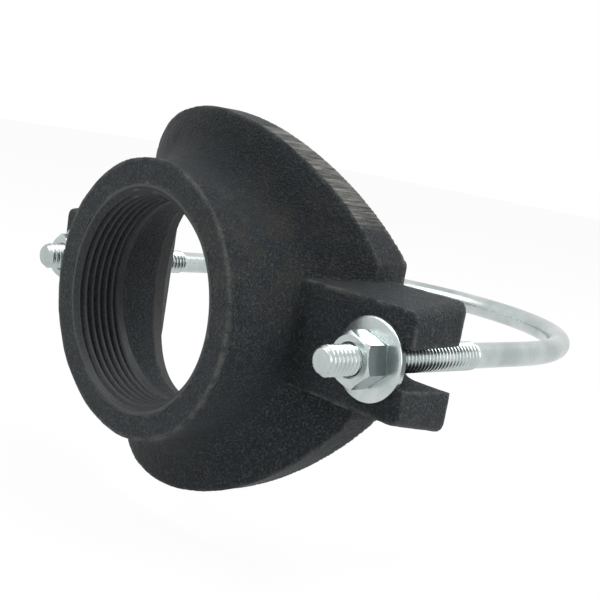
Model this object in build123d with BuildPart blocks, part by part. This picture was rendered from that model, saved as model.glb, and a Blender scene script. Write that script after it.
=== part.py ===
"""Tapping saddle: a cast iron branch saddle clamped to a run pipe by a U-bolt.

Frame: the origin is where the run pipe's axis crosses the branch axis. +Z runs along
the pipe, the branch opens towards -Y, and the U-bolt goes round the pipe on the +Y side.
Lengths are in millimetres.
"""
from build123d import *
from math import hypot
import os

# ---- driving dimensions ----
PIPE_R = 60.96            # 4 in ductile iron main, 4.80 in outside diameter
PLATE_T = 7.5             # wall of the curved plate
PLATE_R = 54.0            # round outline of the plate, seen along the branch
PLATE_HALF_WIDTH = 49.6   # where its sides are cut off, across the pipe
RING_R = 38.25            # outside radius of the branch boss
FACE_Y = 85.8             # boss face, from the pipe's axis
BOSS_SINK = 8.0           # the boss starts this far inside the pipe's radius
NECK_FILLET = 9.0         # sweep of the boss into the plate
BORE_R = 28.3             # minor radius of the 2 in taper pipe thread at the mouth
MOUTH_R = 30.4            # mouth of the thread's lead-in chamfer
LUG_FACE_Y = 60.5         # front faces of the lugs, where the washers bear
LUG_BACK_Y = 42.3
LUG_TIP_X = 76.4
LUG_FRONT_HALF_H = 14.4   # the lugs draft wider towards the pipe
LUG_BACK_HALF_H = 17.2
LUG_ROOT_X = 30.0         # the lugs start inside the boss's flare
SLOT_FRONT_W = 10.0       # open slot between a lug's prongs, drafted the same way
SLOT_BACK_W = 12.0
LUG_CORNER_R = 3.0
ROD_D = 7.94              # 5/16 in U-bolt rod
BEND_Y = 4.5              # centre of the bend: the nuts aren't drawn up yet
RIGHT_END_Y = 78.8        # threaded ends, from the pipe's axis
LEFT_END_Y = 75.0
SHANK_D = 7.1             # plain rod, thinner than the rolled thread's crests
THREAD_START_Y = 19.8     # end of the thread, towards the bend
ROD_CHAMFER = 0.8         # on the threaded ends
NUT_CLEARANCE = 0.05      # between the nut's bore and the thread's crests
NUT_AF = 12.7
NUT_T = 6.75
WASHER_OD = 21.8
WASHER_ID = 9.5
WASHER_T = 2.0
GASKET_T = 3.0
GASKET_INNER_R = 29.5
GASKET_OUTER_R = 38.0
GASKET_GAP = 0.3          # seat's clearance round the gasket's rim
OVERCUT = 1.0             # cuts run this far past the faces they open
TOUCH = 0.01              # an edge this near to a surface lies on it

PLATE_OUTER_R = PIPE_R + PLATE_T
BEND_R = PIPE_R + SHANK_D / 2   # the bend hugs the pipe
NUT_BEARING_Y = LUG_FACE_Y + WASHER_T


def pipe_band(inner_r, outer_r, half_height):
    """A sleeve round the run pipe's axis."""
    with BuildPart() as band:
        with BuildSketch(Plane.XY.offset(-half_height)):
            Circle(outer_r)
            Circle(inner_r, mode=Mode.SUBTRACT)
        extrude(amount=2 * half_height)
    return band.part


def branch_ring(inner_r, outer_r):
    """A tube along the branch axis, long enough to cross the plate's wall."""
    with BuildPart() as ring:
        with BuildSketch(Plane.XZ):
            Circle(outer_r)
            Circle(inner_r, mode=Mode.SUBTRACT)
        extrude(amount=FACE_Y)
    return ring.part


def on_boss_root(edge):
    """True for an edge where the boss meets the plate's outer face."""
    at = edge @ 0.3
    on_boss = abs(hypot(at.X, at.Z) - RING_R) < TOUCH
    return on_boss and abs(hypot(at.X, at.Y) - PLATE_OUTER_R) < TOUCH


# ---- saddle casting ----
with BuildPart() as casting:
    # curved plate: a disc, cut off at its sides, wrapped on the pipe
    with BuildSketch(Plane.XZ):
        Circle(PLATE_R)
        Rectangle(2 * PLATE_HALF_WIDTH, 2 * PLATE_R, mode=Mode.INTERSECT)
    extrude(amount=PLATE_OUTER_R)
    with BuildSketch(Plane.XY.offset(-PLATE_R)):
        Circle(PLATE_OUTER_R)
    extrude(amount=2 * PLATE_R, mode=Mode.INTERSECT)

    # branch boss, swept into the plate
    with BuildSketch(Plane.XZ.offset(PIPE_R - BOSS_SINK)):
        Circle(RING_R)
    extrude(amount=FACE_Y - PIPE_R + BOSS_SINK)
    boss_root = casting.edges().filter_by(on_boss_root)
    fillet(boss_root, NECK_FILLET)

    # forked lugs, left and right, with a slot open at each tip
    lug_length = LUG_TIP_X - LUG_ROOT_X
    lug_levels = (
        (LUG_BACK_Y, LUG_BACK_HALF_H, SLOT_BACK_W), (LUG_FACE_Y, LUG_FRONT_HALF_H, SLOT_FRONT_W)
    )
    for side in (1, -1):
        for level, half_height, _ in lug_levels:
            with BuildSketch(Plane.XZ.offset(level)):
                with Locations((side * (LUG_ROOT_X + lug_length / 2), 0)):
                    RectangleRounded(lug_length, 2 * half_height, LUG_CORNER_R)
        loft()
        for level, _, width in lug_levels:
            with BuildSketch(Plane.XZ.offset(level)):
                with Locations((side * LUG_TIP_X, 0)):
                    SlotCenterToCenter(2 * (LUG_TIP_X - BEND_R), width)
        loft(mode=Mode.SUBTRACT)

    # the run pipe's seat
    with BuildSketch(Plane.XY.offset(-PLATE_R - OVERCUT)):
        Circle(PIPE_R)
    extrude(amount=2 * (PLATE_R + OVERCUT), mode=Mode.SUBTRACT)

    # branch bore with the thread's lead-in chamfer
    with BuildSketch(Plane.XZ):
        Circle(BORE_R)
    extrude(amount=FACE_Y + OVERCUT, mode=Mode.SUBTRACT)
    mouth = casting.faces().sort_by(Axis.Y)[0].inner_wires()[0].edges()
    chamfer(mouth, MOUTH_R - BORE_R)

    # seat of the branch gasket, round the bore on the pipe's side
    seat = pipe_band(PIPE_R - OVERCUT, PIPE_R + GASKET_T, PLATE_R) & branch_ring(
        BORE_R - OVERCUT, GASKET_OUTER_R + GASKET_GAP
    )
    add(seat, mode=Mode.SUBTRACT)

# ---- branch gasket: a rubber ring that follows the pipe ----
with BuildPart() as gasket:
    add(pipe_band(PIPE_R, PIPE_R + GASKET_T, PLATE_R))
    add(branch_ring(GASKET_INNER_R, GASKET_OUTER_R), mode=Mode.INTERSECT)

# ---- U-bolt: plain bend and legs, threaded ends at the crests' diameter ----
with BuildPart() as u_bolt:
    bend_plane = Plane.XZ.offset(-BEND_Y)
    with BuildSketch(bend_plane):
        with Locations((BEND_R, 0)):
            Circle(SHANK_D / 2)
    revolve(axis=Axis((0, BEND_Y, 0), (0, 0, 1)), revolution_arc=180)
    with BuildSketch(bend_plane):
        with Locations((BEND_R, 0), (-BEND_R, 0)):
            Circle(SHANK_D / 2)
    extrude(amount=BEND_Y + THREAD_START_Y)
    for leg_x, end_y in ((BEND_R, RIGHT_END_Y), (-BEND_R, LEFT_END_Y)):
        with BuildSketch(Plane.XZ.offset(THREAD_START_Y)):
            with Locations((leg_x, 0)):
                Circle(ROD_D / 2)
        extrude(amount=end_y - THREAD_START_Y)
    end_faces = u_bolt.faces().filter_by(Axis.Y).filter_by(lambda f: f.center().Y < -LUG_FACE_Y)
    chamfer(end_faces.edges(), ROD_CHAMFER)


def leg_washer(side):
    """Flat washer on one leg, bearing on its lug."""
    with BuildPart() as washer:
        with BuildSketch(Plane.XZ.offset(LUG_FACE_Y)):
            with Locations((side * BEND_R, 0)):
                Circle(WASHER_OD / 2)
                Circle(WASHER_ID / 2, mode=Mode.SUBTRACT)
        extrude(amount=WASHER_T)
    return washer.part


def leg_nut(side):
    """Hex nut on one leg, drawn up to its washer."""
    with BuildPart() as nut:
        with BuildSketch(Plane.XZ.offset(NUT_BEARING_Y)):
            with Locations((side * BEND_R, 0)):
                RegularPolygon(NUT_AF / 2, 6, major_radius=False, rotation=30)
                Circle(ROD_D / 2 + NUT_CLEARANCE, mode=Mode.SUBTRACT)
        extrude(amount=NUT_T)
    return nut.part


pieces = {
    "saddle_casting": casting.part,
    "branch_gasket": gasket.part,
    "u_bolt": u_bolt.part,
    "right_washer": leg_washer(1),
    "left_washer": leg_washer(-1),
    "right_nut": leg_nut(1),
    "left_nut": leg_nut(-1),
}

os.makedirs("parts", exist_ok=True)
for name, piece in pieces.items():
    piece.label = name
    export_step(piece, f"parts/{name}.step")
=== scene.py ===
"""Looks of the tapping saddle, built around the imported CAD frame.

The scene is in metres. The named sizes are in millimetres, and so are the points of the meshes
that are made here, up to mesh_object.
"""
import math

import bmesh
import bpy
from mathutils import Matrix, Vector, noise
from mathutils.bvhtree import BVHTree


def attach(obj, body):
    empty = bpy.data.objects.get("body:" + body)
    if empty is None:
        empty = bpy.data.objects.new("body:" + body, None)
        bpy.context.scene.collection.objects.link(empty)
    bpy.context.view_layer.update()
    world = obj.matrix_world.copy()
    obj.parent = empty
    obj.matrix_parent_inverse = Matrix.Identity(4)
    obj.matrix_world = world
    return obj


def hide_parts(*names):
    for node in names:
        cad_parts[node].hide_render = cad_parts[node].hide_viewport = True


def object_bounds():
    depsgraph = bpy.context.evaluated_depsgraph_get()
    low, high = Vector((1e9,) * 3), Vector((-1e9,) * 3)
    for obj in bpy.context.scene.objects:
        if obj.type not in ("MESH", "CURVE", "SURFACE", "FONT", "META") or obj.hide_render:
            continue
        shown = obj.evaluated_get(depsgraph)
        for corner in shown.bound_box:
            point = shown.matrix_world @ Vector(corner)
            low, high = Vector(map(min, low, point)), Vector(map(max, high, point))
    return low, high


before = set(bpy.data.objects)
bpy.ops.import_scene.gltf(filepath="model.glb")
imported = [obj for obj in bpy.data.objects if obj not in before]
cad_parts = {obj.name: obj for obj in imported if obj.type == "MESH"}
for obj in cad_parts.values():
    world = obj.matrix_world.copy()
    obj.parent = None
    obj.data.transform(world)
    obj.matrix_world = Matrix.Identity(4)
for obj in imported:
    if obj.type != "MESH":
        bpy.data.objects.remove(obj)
cad_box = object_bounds()

# ---- sizes, in millimetres, of what is made here ----
MM = 0.001

# boss and pipe thread
FACE_Y = -85.8
BORE_R = 28.3
MOUTH_R = 30.5
LINER_OUTER_R = 31.4
LINER_SINK = 0.3  # how much wider the liner gets behind the face, hidden in the casting
NPT_PITCH = 2.209
NPT_DEPTH = 1.55
NPT_TURNS = 6.6
NPT_TAPER = 1 / 32
NPT_CREST_GAP = 0.25  # between the thread's crests at the mouth and the solid's plain bore
NPT_WOBBLE = 0.03

# pipe, U-bolt and its hardware
PIPE_R = 60.96
ROD_D = 7.94
ROD_PITCH = 1.411
ROD_THREAD_DEPTH = 0.80
ROD_RUN_OUT = 1.6
SHANK_D = 7.1
BEND_R = PIPE_R + SHANK_D / 2
BEND_Y = 4.5
THREAD_START_Y = -19.8
RIGHT_END_Y = -78.8
LEFT_END_Y = -75.0
END_CHAMFER = 1.0
END_SLOPE = 0.9  # growth of the chamfer's radius per millimetre from the end
END_DOME = ((0.8, 0.05), (0.4, 0.12))  # share of the end's radius, and how far it stands out there
END_TIP = 0.15
NUT_AF = 12.7
NUT_T = 6.75
NUT_CHAMFER = 0.18
NUT_FACE_INSET = 0.6
NUT_BORE_R = ROD_D / 2 + 0.02
NUT_SINK_WIDTH = 0.55
NUT_SINK_DEPTH = 0.5
WASHER_BACK_Y = -60.5
WASHER_T = 2.0
WASHER_OD = 21.8
WASHER_ID = 9.5

# the casting's skin
WELD_GAP = 0.02
REMESH_DEPTH = 8
REMESH_SCALE = 0.9
SOFTEN_FACTOR = 0.5
SOFTEN_STEPS = 2
EDGE_RETURN = 0.35
SKIN_LUMPS = ((95, 0.21), (240, 0.10), (620, 0.06))  # lumps per metre, and their height
SEAT_MARGIN = 0.6
SEAT_ROUGHNESS = 0.15  # share of the lumps' height that is left where the casting sits on the pipe
LINED_PAST_THREAD = 1.2
LINED_PAST_MOUTH = 0.6
LINED_LAP = 0.25


# ---- mesh helpers ----
def mesh_object(name, points, faces):
    """A new smooth mesh object from points in millimetres."""
    mesh = bpy.data.meshes.new(name)
    mesh.from_pydata([[c * MM for c in p] for p in points], [], faces)
    mesh.validate()
    bm = bmesh.new()
    bm.from_mesh(mesh)
    bmesh.ops.recalc_face_normals(bm, faces=bm.faces)
    bm.to_mesh(mesh)
    bm.free()
    shade_smooth(mesh)
    obj = bpy.data.objects.new(name, mesh)
    bpy.context.scene.collection.objects.link(obj)
    return obj


def shade_smooth(mesh):
    """Smooth shading on every face."""
    mesh.polygons.foreach_set("use_smooth", [True] * len(mesh.polygons))


def ring(y, around, radius_at, centre_x=0.0, turn=0.0):
    """Points round an axis along Y. radius_at is a number, or a function of share of a turn and angle."""
    points = []
    for j in range(around):
        angle = 2 * math.pi * j / around
        radius = radius_at(j / around, angle) if callable(radius_at) else radius_at
        points.append((centre_x + radius * math.cos(angle + turn), y, radius * math.sin(angle + turn)))
    return points


def grid_faces(rows, columns, close_rows=False):
    """Quads between rings of points. close_rows joins the last ring to the first."""
    faces = []
    for i in range(rows if close_rows else rows - 1):
        for j in range(columns):
            a, b = i * columns, ((i + 1) % rows) * columns
            k = (j + 1) % columns
            faces.append((a + j, a + k, b + k, b + j))
    return faces


def ridge(phase):
    """Height, 0 to 1, of a 60 degree thread with narrow flats at a phase of one turn."""
    t = abs((phase % 1.0) * 2 - 1)
    return min(1.0, max(0.0, (t - 0.1) / 0.78))


def smoothstep(low, high, value):
    """0 below low, 1 above high, and a smooth rise between them."""
    t = min(1.0, max(0.0, (value - low) / (high - low)))
    return t * t * (3 - 2 * t)


# ---- materials; their places are in metres ----
class Nodes:
    """A material's node tree, with short calls to add and join nodes."""

    def __init__(self, name):
        self.material = bpy.data.materials.new(name)
        self.material.use_nodes = True
        self.tree = self.material.node_tree
        self.shader = self.tree.nodes["Principled BSDF"]

    def add(self, kind, **values):
        node = self.tree.nodes.new(kind)
        for key, value in values.items():
            if key in node.inputs:
                node.inputs[key].default_value = value
            else:
                setattr(node, key, value)
        return node

    def join(self, source, target):
        self.tree.links.new(source, target)

    def shade(self, **inputs):
        """Sets the shader's inputs, from numbers or from other nodes, and returns the material."""
        for key, value in inputs.items():
            target = self.shader.inputs[key.replace("_", " ")]
            if isinstance(value, (int, float)):
                target.default_value = value
            else:
                self.join(value, target)
        return self.material

    def place(self):
        return self.add("ShaderNodeTexCoord").outputs["Object"]

    def noise(self, scale, detail=4, rough=0.6, stretch=None):
        node = self.add("ShaderNodeTexNoise", Scale=scale, Detail=detail, Roughness=rough)
        where = self.place()
        if stretch:
            mapping = self.add("ShaderNodeMapping")
            mapping.inputs["Scale"].default_value = stretch
            self.join(where, mapping.inputs["Vector"])
            where = mapping.outputs["Vector"]
        self.join(where, node.inputs["Vector"])
        return node.outputs["Fac"]

    def ramp(self, value, *stops):
        """A colour that follows value through stops of position and colour."""
        node = self.add("ShaderNodeValToRGB")
        elements = node.color_ramp.elements
        while len(elements) < len(stops):
            elements.new(0.5)
        for element, (position, colour) in zip(elements, stops):
            element.position = position
            element.color = (*colour, 1)
        self.join(value, node.inputs["Fac"])
        return node.outputs["Color"]

    def mask(self, value, low, high):
        """0 below low and 1 above high, even between them."""
        return self.ramp(value, (low, (0, 0, 0)), (high, (1, 1, 1)))

    def maths(self, operation, a, b=None):
        node = self.add("ShaderNodeMath", operation=operation)
        for slot, value in enumerate((a, b)):
            if value is None:
                continue
            if isinstance(value, (int, float)):
                node.inputs[slot].default_value = value
            else:
                self.join(value, node.inputs[slot])
        return node.outputs[0]

    def times(self, a, b):
        return self.maths("MULTIPLY", a, b)

    def plus(self, a, b):
        return self.maths("ADD", a, b)

    def mix(self, factor, a, b):
        node = self.add("ShaderNodeMix", data_type="RGBA", blend_type="MIX")
        for socket, value in ((node.inputs[0], factor), (node.inputs[6], a), (node.inputs[7], b)):
            if isinstance(value, tuple):
                socket.default_value = (*value, 1)
            else:
                self.join(value, socket)
        return node.outputs[2]

    def band(self, value, low, high, soft):
        """1 where value lies between low and high, with soft edges."""
        sides = []
        for edge, below, above in ((low, 0.0, 1.0), (high, 1.0, 0.0)):
            side = self.add("ShaderNodeMapRange", interpolation_type="SMOOTHSTEP")
            side.inputs["From Min"].default_value = edge - soft
            side.inputs["From Max"].default_value = edge + soft
            side.inputs["To Min"].default_value = below
            side.inputs["To Max"].default_value = above
            self.join(value, side.inputs["Value"])
            sides.append(side.outputs[0])
        return self.times(*sides)

    def facing(self, direction):
        """How far the surface faces a direction, from -1 to 1."""
        node = self.add("ShaderNodeVectorMath", operation="DOT_PRODUCT")
        node.inputs[1].default_value = direction
        self.join(self.add("ShaderNodeNewGeometry").outputs["True Normal"], node.inputs[0])
        return node.outputs["Value"]

    def edges(self):
        """About 0.5 on flat surfaces, more on outer edges and less in corners."""
        return self.add("ShaderNodeNewGeometry").outputs["Pointiness"]

    def bump(self, height, distance, strength=1.0, onto=None):
        node = self.add("ShaderNodeBump", Strength=strength, Distance=distance)
        self.join(height, node.inputs["Height"])
        if onto is not None:
            self.join(onto, node.inputs["Normal"])
        return node.outputs["Normal"]


def iron_material():
    """Black sand-cast iron: grainy skin with painted glints, worn edges, a ground stretch on the plate's
    rim, painted shade above the boss, a faint painted sheen.
    """
    n = Nodes("cast_iron_black")
    grain = n.noise(2400, 2, 0.55)
    skin = n.noise(1500, 3, 0.62)
    patch = n.noise(42, 4, 0.55)
    place = n.add("ShaderNodeSeparateXYZ")
    n.join(n.place(), place.inputs[0])
    x, _, z = place.outputs
    across = n.maths("SQRT", n.plus(n.times(x, x), n.times(z, z)))

    colour = n.ramp(skin, (0.36, (0.004, 0.0065, 0.008)), (0.54, (0.016, 0.022, 0.026)),
                    (0.68, (0.064, 0.076, 0.081)))
    colour = n.mix(n.times(patch, 0.4), colour, (0.010, 0.0135, 0.017))
    # painted glints: light specks in the colour stand in for the sparkle of the grain
    painted_glint_specks = n.mask(grain, 0.60, 0.70)
    colour = n.mix(n.times(painted_glint_specks, 0.40), colour, (0.115, 0.124, 0.126))
    pits = n.ramp(grain, (0.34, (1, 1, 1)), (0.42, (0, 0, 0)))
    colour = n.mix(n.times(pits, 0.7), colour, (0.003, 0.004, 0.005))

    # painted shade: the plate above the boss is painted darker, as in the shade of the boss
    painted_shade_above_boss = n.times(n.band(across, 0.0385, 0.0520, 0.003), n.band(z, 0.018, 0.070, 0.004))
    colour = n.mix(n.times(painted_shade_above_boss, 0.45), colour, (0.003, 0.005, 0.007))

    # a faint painted sheen, brownish, where the boss flares into the plate, and on the right end of the
    # plate
    painted_sheen_place = n.times(n.band(z, 0.004, 0.036, 0.012), n.band(x, 0.010, 0.052, 0.010))
    painted_sheen = n.times(painted_sheen_place, n.mask(n.noise(120, 4), 0.45, 0.62))
    colour = n.mix(n.times(painted_sheen, 0.30), colour, (0.050, 0.040, 0.030))

    # worn edges, in patches
    patches = n.ramp(n.noise(260, 4), (0.36, (0.1, 0.1, 0.1)), (0.62, (1, 1, 1)))
    worn = n.times(n.mask(n.edges(), 0.505, 0.560), patches)
    colour = n.mix(n.times(worn, 0.45), colour, (0.17, 0.17, 0.16))

    # the ground stretch on the rim: bare metal with fine strokes across the edge
    ground = n.times(n.band(x, 0.018, 0.0445, 0.0015), n.band(z, 0.0265, 0.060, 0.002))
    ground = n.times(ground, n.band(n.facing((0.62, 0.0, 0.78)), 0.80, 2.0, 0.05))
    ground = n.times(ground, n.band(across, 0.0495, 1.0, 0.0008))
    strokes = n.noise(1, 4, 0.7, stretch=(90, 90, 1700))
    bare = n.ramp(strokes, (0.34, (0.020, 0.021, 0.020)), (0.50, (0.085, 0.086, 0.080)),
                  (0.66, (0.21, 0.208, 0.19)))
    colour = n.mix(ground, colour, bare)

    rough = n.plus(n.times(skin, 0.40), 0.34)
    relief = n.bump(n.plus(n.times(grain, 0.7), skin), 0.0010)
    return n.shade(
        Base_Color=colour,
        Roughness=n.maths("SUBTRACT", rough, n.times(ground, 0.08)),
        Specular_IOR_Level=0.22,
        Metallic=n.times(ground, 0.3),
        Normal=n.bump(n.times(strokes, ground), 0.0003, 0.5, relief),
    )


def machined_iron_material():
    """Cut thread in black iron: dark, and brighter on the crests."""
    n = Nodes("cut_thread_iron")
    fine = n.noise(1500, 3, 0.6)
    base = n.ramp(fine, (0.35, (0.010, 0.012, 0.014)), (0.65, (0.032, 0.036, 0.038)))
    crest = n.mask(n.edges(), 0.50, 0.60)
    return n.shade(
        Base_Color=n.mix(n.times(crest, 0.40), base, (0.10, 0.108, 0.11)),
        Metallic=0.15,
        Specular_IOR_Level=0.3,
        Roughness=n.plus(n.times(fine, 0.25), 0.42),
        Normal=n.bump(fine, 0.0002, 0.4),
    )


def zinc_material(name, streak=(1, 1, 1), side_painted_shade=0):
    """Bright zinc plate with a pale green-blue cast and faint draw marks, and optional painted shade on the
    flats that face sideways.
    """
    n = Nodes(name)
    cloud = n.noise(70, 4, 0.6)
    marks = n.noise(400, 4, 0.6, stretch=streak)
    colour = n.ramp(cloud, (0.35, (0.40, 0.455, 0.45)), (0.55, (0.52, 0.57, 0.565)),
                    (0.72, (0.62, 0.65, 0.64)))
    dull = n.mask(n.noise(230, 5, 0.7), 0.62, 0.72)
    colour = n.mix(n.times(dull, 0.25), colour, (0.33, 0.37, 0.37))
    if side_painted_shade:
        # painted shade: flats that face sideways are painted darker
        side = n.band(n.facing((0.97, 0.0, 0.22)), 0.93, 2.0, 0.03)
        colour = n.mix(n.times(side, side_painted_shade), colour, (0.07, 0.09, 0.095))
    rough = n.plus(n.times(marks, 0.16), 0.17)
    return n.shade(
        Base_Color=colour,
        Metallic=1.0,
        Roughness=n.plus(rough, n.times(dull, 0.1)),
        Normal=n.bump(marks, 0.00012, 0.35),
    )


def rubber_material():
    """Matt black moulded rubber."""
    n = Nodes("gasket_rubber")
    fine = n.noise(800, 4, 0.6)
    return n.shade(
        Base_Color=n.ramp(fine, (0.35, (0.012, 0.012, 0.012)), (0.7, (0.03, 0.03, 0.031))),
        Roughness=n.plus(n.times(fine, 0.2), 0.6),
        Normal=n.bump(fine, 0.0002, 0.4),
    )


def dress(obj, material, body, slot, *nodes):
    """Gives a piece its material and body, and hides the CAD nodes that it stands for. The slot argument is
    not used.
    """
    obj.data.materials.clear()
    obj.data.materials.append(material)
    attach(obj, body)
    if nodes:
        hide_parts(*nodes)


# ---- casting ----
def remeshed_casting(source):
    """The CAD casting as an even mesh with softened edges. The modifiers work in millimetres."""
    mesh = source.data.copy()
    mesh.name = "casting_skin"
    mesh.materials.clear()
    mesh.transform(Matrix.Scale(1 / MM, 4))
    obj = bpy.data.objects.new("casting_skin", mesh)
    bpy.context.scene.collection.objects.link(obj)
    weld = obj.modifiers.new("weld", "WELD")
    weld.merge_threshold = WELD_GAP
    remesh = obj.modifiers.new("remesh", "REMESH")
    remesh.mode = "SHARP"
    remesh.octree_depth = REMESH_DEPTH
    remesh.scale = REMESH_SCALE
    remesh.use_remove_disconnected = False
    soften = obj.modifiers.new("soften", "SMOOTH")
    soften.factor = SOFTEN_FACTOR
    soften.iterations = SOFTEN_STEPS
    depsgraph = bpy.context.evaluated_depsgraph_get()
    made = bpy.data.meshes.new_from_object(obj.evaluated_get(depsgraph))
    obj.modifiers.clear()
    obj.data = made
    made.name = "casting_skin"
    made.transform(Matrix.Scale(MM, 4))
    return obj


def cast_lumps(co):
    """Height of the sand-cast skin, in millimetres, at a place in metres."""
    height = 0.0
    for per_metre, rise in SKIN_LUMPS:
        height += noise.noise(co * per_metre) * rise
    return height


def cast_body():
    """The CAD casting with soft cast corners and a sand-cast skin, opened for the thread liner."""
    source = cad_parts["saddle_casting"]
    obj = remeshed_casting(source)
    mesh = obj.data

    # draw the softened edges part of the way back to the CAD surface
    cad = source.data
    surface = BVHTree.FromPolygons([v.co for v in cad.vertices], [p.vertices for p in cad.polygons])
    drawn = []
    for vertex in mesh.vertices:
        drawn.extend(vertex.co.lerp(surface.find_nearest(vertex.co)[0], EDGE_RETURN))
    mesh.vertices.foreach_set("co", drawn)
    mesh.update()

    lined_y = FACE_Y + NPT_PITCH * NPT_TURNS + LINED_PAST_THREAD
    skin = [(vertex.co.copy(), vertex.normal.copy()) for vertex in mesh.vertices]
    moved = []
    for co, normal in skin:
        x, y, z = (c / MM for c in co)
        radius = math.hypot(x, z)
        if y < lined_y and radius < MOUTH_R + LINED_PAST_MOUTH:
            # the bore's wall steps back behind the liner
            stretch = (LINER_OUTER_R - LINED_LAP) / max(radius, 1)
            moved.extend((co.x * stretch, co.y, co.z * stretch))
        else:
            share = SEAT_ROUGHNESS if math.hypot(x, y) < PIPE_R + SEAT_MARGIN else 1.0
            moved.extend(co + normal * (share * cast_lumps(co) * MM))
    mesh.vertices.foreach_set("co", moved)
    mesh.update()
    shade_smooth(mesh)
    return obj


def bore_radius(depth, share, angle):
    """Radius of the bore behind its face: the taper thread, cut off by the mouth's 45 degree chamfer."""
    end = NPT_TURNS * NPT_PITCH
    minor = BORE_R + NPT_CREST_GAP - depth * NPT_TAPER
    fade = 1 - smoothstep(end - NPT_PITCH, end, depth)
    cut = minor + NPT_DEPTH * fade * (1 - ridge(depth / NPT_PITCH + share))
    wobble = NPT_WOBBLE * noise.noise(Vector((math.cos(angle) * 6, depth, math.sin(angle) * 6)))
    return max(cut, MOUTH_R - depth) + wobble


def thread_liner():
    """The mouth's chamfer and the taper pipe thread behind it, closed round the back inside the casting."""
    around = 240
    step = NPT_PITCH / 14
    first, past_thread = 0.05, 1.5
    count = int((NPT_TURNS * NPT_PITCH + past_thread) / step)
    back = first + count * step
    points = ring(FACE_Y + 0.9, around, LINER_OUTER_R + LINER_SINK)
    points += ring(FACE_Y + 0.02, around, LINER_OUTER_R)
    for i in range(count):
        depth = first + i * step
        points += ring(FACE_Y + depth, around, lambda share, angle: bore_radius(depth, share, angle))
    for radius in (BORE_R - 0.35, BORE_R + 1.6, LINER_OUTER_R + LINER_SINK):
        points += ring(FACE_Y + back, around, radius)
    return mesh_object("bore_thread", points, grid_faces(len(points) // around, around, close_rows=True))


# ---- U-bolt ----
def bolt_path():
    """Stations along the U-bolt, end to end: centre, side direction, thread or plain, way from the end."""
    step = ROD_PITCH / 10
    plain, bends = 14, 96

    def leg(side, end_y):
        count = int((THREAD_START_Y - end_y) / step)
        for i in range(count + 1):
            yield (side * BEND_R, end_y + i * step, 0), (side, 0, 0), "thread", i * step
        for i in range(1, plain + 1):
            y = THREAD_START_Y + (BEND_Y - THREAD_START_Y) * i / plain
            yield (side * BEND_R, y, 0), (side, 0, 0), "plain", 0

    stations = list(leg(1, RIGHT_END_Y))
    for i in range(1, bends):
        a = math.pi * i / bends
        centre = (BEND_R * math.cos(a), BEND_Y + BEND_R * math.sin(a), 0)
        stations.append((centre, (math.cos(a), math.sin(a), 0), "plain", 0))
    return stations + list(leg(-1, LEFT_END_Y))[::-1]


def thread_radius(y, turn, from_end):
    """Radius of a threaded leg: rolled ridges that run out into the shank, and a chamfered end."""
    crest, root = ROD_D / 2, ROD_D / 2 - ROD_THREAD_DEPTH
    radius = root + (crest - root) * ridge(y / ROD_PITCH + turn)
    run_out = smoothstep(THREAD_START_Y - ROD_RUN_OUT, THREAD_START_Y, y)
    radius = radius * (1 - run_out) + SHANK_D / 2 * run_out
    return min(radius, crest - END_CHAMFER + from_end * END_SLOPE)


def cap_end(points, faces, first, centre, around):
    """Closes the end of the rod, from the ring that starts at point first, with a slight dome."""
    x, y, z = centre
    rim = points[first:first + around]
    outer = first
    for share, rise in END_DOME:
        inner = len(points)
        points.extend((x + (px - x) * share, py - rise, z + (pz - z) * share) for px, py, pz in rim)
        for j in range(around):
            k = (j + 1) % around
            faces.append((outer + j, outer + k, inner + k, inner + j))
        outer = inner
    tip = len(points)
    points.append((x, y - END_TIP, z))
    faces.extend((outer + j, outer + (j + 1) % around, tip) for j in range(around))


def u_bolt_mesh():
    """The bent rod with rolled threads on both legs."""
    around = 40
    points = []
    stations = bolt_path()
    for centre, out, kind, from_end in stations:
        for j in range(around):
            a = 2 * math.pi * j / around
            if kind == "thread":
                turn = j / around if out[0] > 0 else -j / around
                radius = thread_radius(centre[1], turn, from_end)
            else:
                radius = SHANK_D / 2
            radial = math.cos(a) * radius
            points.append((centre[0] + out[0] * radial, centre[1] + out[1] * radial, math.sin(a) * radius))
    faces = grid_faces(len(stations), around)
    for index in (0, len(stations) - 1):
        cap_end(points, faces, index * around, stations[index][0], around)
    return mesh_object("u_bolt_rod", points, faces)


# ---- nuts and washers ----
def hex_radius(angle):
    """Distance from the axis to a hexagon's side, corners at 0 degrees and every 60 on."""
    return NUT_AF / 2 / math.cos((angle % (math.pi / 3)) - math.pi / 6)


def nut_mesh(name, centre_x, turn):
    """Hex nut: corners turned to a 30 degree chamfer at both faces, countersunk bore."""
    around = 144
    back_y = WASHER_BACK_Y - WASHER_T
    depths = [0, 0.06, 0.15, 0.25, 0.35, 0.48, 0.62, 0.8, 1.2]
    levels = depths + [NUT_T / 2] + [NUT_T - d for d in reversed(depths)]
    wide = NUT_BORE_R + NUT_SINK_WIDTH
    bore = [(NUT_T, wide), (NUT_T - NUT_SINK_DEPTH, NUT_BORE_R), (NUT_SINK_DEPTH, NUT_BORE_R), (0.0, wide)]
    face_r = NUT_AF / 2 - NUT_FACE_INSET
    sections = bore + [(0.0, face_r)]
    for level in levels:
        near = min(level, NUT_T - level)
        cone = NUT_AF / 2 - NUT_CHAMFER + near / math.tan(math.radians(30))
        sections.append((level, lambda share, angle, cone=cone: min(hex_radius(angle), cone)))
    sections.append((NUT_T, face_r))
    points = []
    for depth, radius_at in sections:
        points += ring(back_y - depth, around, radius_at, centre_x, turn)
    return mesh_object(name, points, grid_faces(len(sections), around, close_rows=True))


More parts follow.
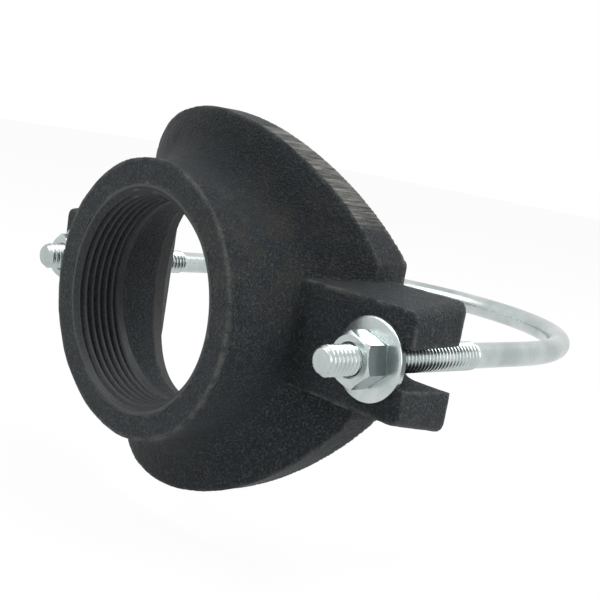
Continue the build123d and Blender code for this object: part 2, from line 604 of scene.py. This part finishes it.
def washer_mesh(name, centre_x):
    """Stamped flat washer with a rolled edge on its punched side."""
    around = 128
    outer, inner, t = WASHER_OD / 2, WASHER_ID / 2, WASHER_T
    # radius and height: up the hole, across the punched side, round the rim and back underneath
    profile = [
        (inner, 0.25), (inner, t - 0.3), (inner + 0.3, t), (outer - 0.7, t), (outer - 0.3, t - 0.08),
        (outer - 0.06, t - 0.35), (outer, t - 0.7), (outer, 0.15), (outer - 0.15, 0), (inner + 0.25, 0),
    ]
    points = []
    for radius, height in profile:
        points += ring(WASHER_BACK_Y - height, around, radius, centre_x)
    return mesh_object(name, points, grid_faces(len(profile), around, close_rows=True))


def sharpen(obj, degrees):
    """Smooth shading that breaks at edges sharper than this angle."""
    bm = bmesh.new()
    bm.from_mesh(obj.data)
    limit = math.radians(degrees)
    for edge in bm.edges:
        edge.smooth = not (len(edge.link_faces) == 2 and edge.calc_face_angle(0) > limit)
    bm.to_mesh(obj.data)
    bm.free()


dress(cast_body(), iron_material(), "saddle", "cast_iron_black", "saddle_casting")
dress(thread_liner(), machined_iron_material(), "saddle", "cast_iron_black")
dress(u_bolt_mesh(), zinc_material("zinc_rod", (1, 0.1, 1)), "bolt", "zinc_rod", "u_bolt")
# painted shade on the sideways flats of the nuts and washers
zinc = zinc_material("zinc_hardware", side_painted_shade=0.8)
for side, sign, turn in (("right", 1, 0.74), ("left", -1, 0.80)):
    nut = nut_mesh(f"{side}_hex_nut", sign * BEND_R, turn)
    sharpen(nut, degrees=24)
    dress(nut, zinc, f"{side}_nut", "zinc_hardware", f"{side}_nut")
    washer = washer_mesh(f"{side}_flat_washer", sign * BEND_R)
    sharpen(washer, degrees=40)
    dress(washer, zinc, "saddle", "zinc_hardware", f"{side}_washer")
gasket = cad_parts["branch_gasket"]
gasket.data.materials.clear()
gasket.data.materials.append(rubber_material())


# ---- floor, light and camera; places are in metres unless the comment says otherwise ----
FLOOR_DROP = 0.012
FLOOR_SIDE = 6
FLOOR_GREY = 0.85
FLOOR_WHITE = 0.94  # share of plain white in what the camera and mirrors see of the floor
WORLD_LIGHT = 0.42
LAMPS = (  # name, place, side, power in watts
    ("key", (-0.35, -0.75, 0.85), 0.5, 8),
    ("top", (0.35, 0.25, 0.95), 0.6, 10),
    ("side", (0.95, -0.15, 0.30), 0.5, 3),
)
LAMP_TARGET = (0, -0.04, 0)
# angles in degrees and distances in millimetres; focal length and lens centre in 600ths of the frame's side
CAMERA = dict(azimuth=44.15, elevation=12.03, roll=9.72, distance=367.75, aside=-17.18, above=-25.46,
              focal=1106.6, centre_x=-4.36, centre_y=69.97)
FRAME_SIDE = 600
SENSOR = 36.0


def seen_by_eye(tree):
    """1 for what the camera or a mirror looks at, and 0 for what only lights the scene."""
    path = tree.nodes.new("ShaderNodeLightPath")
    seen = tree.nodes.new("ShaderNodeMath")
    seen.operation = "MAXIMUM"
    tree.links.new(path.outputs["Is Camera Ray"], seen.inputs[0])
    tree.links.new(path.outputs["Is Glossy Ray"], seen.inputs[1])
    return seen.outputs[0]


def floor_material():
    """A pale matt surface that the camera and mirrors see as nearly plain white."""
    n = Nodes("floor_pale")
    glow = n.add("ShaderNodeEmission", Color=(1, 1, 1, 1), Strength=1.0)
    mix = n.add("ShaderNodeMixShader")
    n.join(n.times(seen_by_eye(n.tree), FLOOR_WHITE), mix.inputs["Fac"])
    n.join(n.shader.outputs[0], mix.inputs[1])
    n.join(glow.outputs[0], mix.inputs[2])
    n.join(mix.outputs[0], n.tree.nodes["Material Output"].inputs["Surface"])
    n.shader.inputs["Base Color"].default_value = (FLOOR_GREY, FLOOR_GREY, FLOOR_GREY, 1)
    return n.shade(Roughness=1.0)


def make_world():
    """White surroundings that light the scene more softly than they look."""
    world = bpy.data.worlds.new("studio")
    bpy.context.scene.world = world
    world.use_nodes = True
    tree = world.node_tree
    background = tree.nodes["Background"]
    strength = tree.nodes.new("ShaderNodeMapRange")
    strength.inputs["To Min"].default_value = WORLD_LIGHT
    strength.inputs["To Max"].default_value = 1.0
    tree.links.new(seen_by_eye(tree), strength.inputs["Value"])
    tree.links.new(strength.outputs[0], background.inputs["Strength"])
    background.inputs["Color"].default_value = (1, 1, 1, 1)


def soft_lamp(name, place, side, power):
    """A square area lamp aimed at the object."""
    data = bpy.data.lights.new(name, "AREA")
    data.energy = power
    data.size = side
    lamp = bpy.data.objects.new(name, data)
    lamp.location = place
    lamp.rotation_euler = (Vector(LAMP_TARGET) - Vector(place)).to_track_quat("-Z", "Y").to_euler()
    bpy.context.scene.collection.objects.link(lamp)


bpy.ops.mesh.primitive_plane_add(size=FLOOR_SIDE, location=(0, 0, cad_box[0][2] - FLOOR_DROP))
floor = bpy.context.object
floor.name = "floor"
floor.data.materials.append(floor_material())
make_world()
for lamp in LAMPS:
    soft_lamp(*lamp)


def make_camera():
    """The camera at the photograph's viewing angle."""
    azimuth, elevation, roll = (math.radians(CAMERA[k]) for k in ("azimuth", "elevation", "roll"))
    back = Vector((math.sin(azimuth) * math.cos(elevation), -math.cos(azimuth) * math.cos(elevation),
                   math.sin(elevation)))
    right = (-back).cross(Vector((0, 0, 1))).normalized()
    up = right.cross(-back)
    rolled_right = right * math.cos(roll) + up * math.sin(roll)
    rolled_up = up * math.cos(roll) - right * math.sin(roll)
    place = back * CAMERA["distance"] + right * CAMERA["aside"] + Vector((0, BEND_Y, CAMERA["above"]))
    data = bpy.data.cameras.new("camera")
    data.sensor_width = SENSOR
    data.lens = CAMERA["focal"] / FRAME_SIDE * SENSOR
    data.shift_x = -CAMERA["centre_x"] / FRAME_SIDE
    data.shift_y = CAMERA["centre_y"] / FRAME_SIDE
    data.clip_start = 0.01
    camera = bpy.data.objects.new("camera", data)
    matrix = Matrix((rolled_right, rolled_up, back)).transposed().to_4x4()
    matrix.translation = place * MM
    camera.matrix_world = matrix
    bpy.context.scene.collection.objects.link(camera)
    bpy.context.scene.camera = camera


make_camera()
bpy.context.scene.view_settings.view_transform = "Standard"
